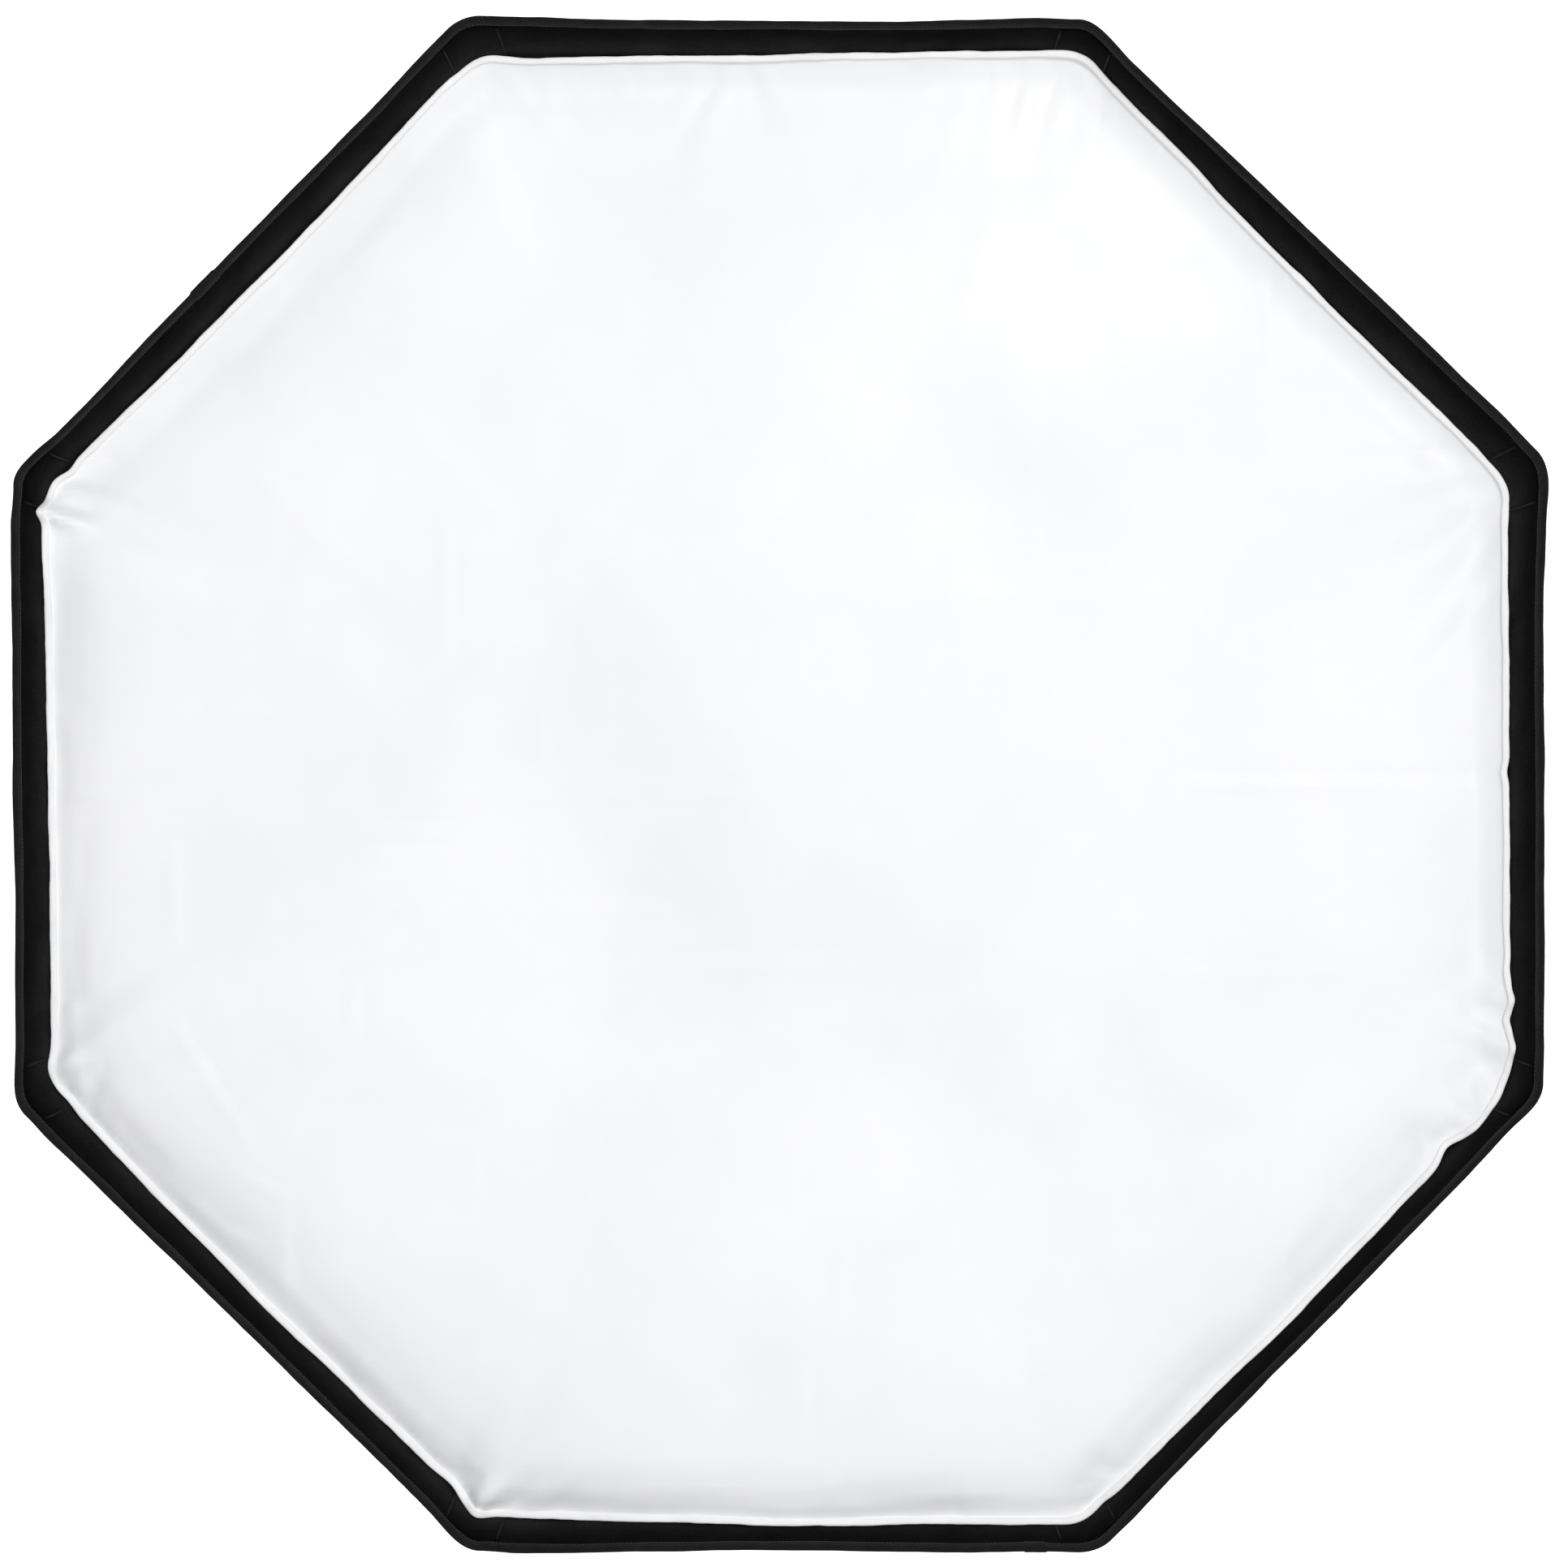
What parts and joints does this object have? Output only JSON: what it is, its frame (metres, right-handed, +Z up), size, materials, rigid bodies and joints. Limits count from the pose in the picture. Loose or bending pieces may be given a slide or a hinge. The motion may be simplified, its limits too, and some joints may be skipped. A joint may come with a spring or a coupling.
{
  "type": "octagonal studio softbox",
  "caption": "Octagonal studio softbox: rod-tensioned black cover with silver lining, white front diffuser in a black lip, inner baffle, and a rotating speed ring with bayonet.",
  "frame": {"origin": "centre of the bayonet insert's rear seat face, on the softbox's axis", "axes": "+Z up, front faces -Y, +X to the viewer's right when seen from the front; +Y points back along the lamp's axis"},
  "size_m": [1.2008, 0.5242, 1.2008],
  "materials": {
    "insert_steel": "zinc-plated pressed steel, satin",
    "screw_steel": "black-oxide steel",
    "ring_aluminium": "black anodised, satin",
    "retaining_plate": "plain satin",
    "socket_zinc": "zinc-plated, satin",
    "ferrule_steel": "bright ferrule",
    "rod_fibreglass": "black pultruded fibreglass",
    "cap_rubber": "moulded rubber",
    "pocket_webbing": "heavy webbing",
    "black_cover": "black woven nylon, slight sheen",
    "silver_lining": "silver-coated reflective cloth",
    "black_piping": "black grosgrain binding",
    "cuff_elastic": "ribbed elastic",
    "rear_patch": "heat-resistant heavy cloth",
    "black_lip": "black woven nylon",
    "loop_velvet": "black napped loop lining, matte",
    "hem_tape": "black woven binding tape",
    "diffuser_white": "white satin diffusion cloth",
    "diffuser_edge": "white rolled hem",
    "hook_tape": "white hook tape",
    "baffle_white": "white thin diffusion cloth",
    "baffle_edge": "white bound edge",
    "strap_elastic": "white elastic tape",
    "buckle_plastic": "white acetal",
    "knob_aluminium": "black anodised, knurled"
  },
  "bodies": {
    "mount_insert": {"bayonet_insert": "insert_steel", "bayonet_lugs": "insert_steel", "lug_screws": "screw_steel"},
    "softbox": {"retaining_screws": "screw_steel", "socket_screws": "screw_steel", "speed_ring": "ring_aluminium", "retaining_ring": "retaining_plate", "rod_sockets": "socket_zinc", "rod_ferrules": "ferrule_steel", "rod_1": "rod_fibreglass", "rod_2": "rod_fibreglass", "rod_3": "rod_fibreglass", "rod_4": "rod_fibreglass", "rod_5": "rod_fibreglass", "rod_6": "rod_fibreglass", "rod_7": "rod_fibreglass", "rod_8": "rod_fibreglass", "rod_tip_caps": "cap_rubber", "rod_tip_pockets": "pocket_webbing", "cover_panel_1": "black_cover", "cover_panel_2": "black_cover", "cover_panel_3": "black_cover", "cover_panel_4": "black_cover", "cover_panel_5": "black_cover", "cover_panel_6": "black_cover", "cover_panel_7": "black_cover", "cover_panel_8": "black_cover", "silver_liner": "silver_lining", "seam_bindings": "black_piping", "elastic_cuff": "cuff_elastic", "rear_collar": "rear_patch", "lip_panel_1": "black_lip", "lip_panel_2": "black_lip", "lip_panel_3": "black_lip", "lip_panel_4": "black_lip", "lip_panel_5": "black_lip", "lip_panel_6": "black_lip", "lip_panel_7": "black_lip", "lip_panel_8": "black_lip", "lip_lining": "loop_velvet", "corner_gussets": "loop_velvet", "hem_binding": "hem_tape", "inner_baffle": "baffle_white", "baffle_binding": "baffle_edge", "baffle_straps": "strap_elastic", "strap_loops": "strap_elastic", "strap_buckles": "buckle_plastic"},
    "front_diffuser": {"diffuser_sheet": "diffuser_white", "diffuser_border": "diffuser_edge", "diffuser_hook_tape": "hook_tape", "diffuser_piping": "diffuser_edge"},
    "lock_knob_1": {"lock_knob_1": "knob_aluminium"},
    "lock_knob_2": {"lock_knob_2": "knob_aluminium"},
    "lock_knob_3": {"lock_knob_3": "knob_aluminium"},
    "lock_knob_4": {"lock_knob_4": "knob_aluminium"}
  },
  "joints": [
    {"name": "ring_turn", "type": "hinge", "parent": "mount_insert", "child": "softbox", "pos_m": [0, 0, 0], "axis": [0, 1, 0], "continuous": true},
    {"name": "diffuser_pull", "type": "slide", "parent": "softbox", "child": "front_diffuser", "axis": [0, -1, 0], "range_m": [0, 0.16]},
    {"name": "lock_knob_1", "type": "hinge", "parent": "softbox", "child": "lock_knob_1", "pos_m": [0.06505, -0.0081, 0.06505], "axis": [0.7071, 0, 0.7071], "range_deg": [0, 540]},
    {"name": "lock_knob_2", "type": "hinge", "parent": "softbox", "child": "lock_knob_2", "pos_m": [-0.06505, -0.0081, 0.06505], "axis": [-0.7071, 0, 0.7071], "range_deg": [0, 540]},
    {"name": "lock_knob_3", "type": "hinge", "parent": "softbox", "child": "lock_knob_3", "pos_m": [-0.06505, -0.0081, -0.06505], "axis": [-0.7071, 0, -0.7071], "range_deg": [0, 540]},
    {"name": "lock_knob_4", "type": "hinge", "parent": "softbox", "child": "lock_knob_4", "pos_m": [0.06505, -0.0081, -0.06505], "axis": [0.7071, 0, -0.7071], "range_deg": [0, 540]}
  ]
}
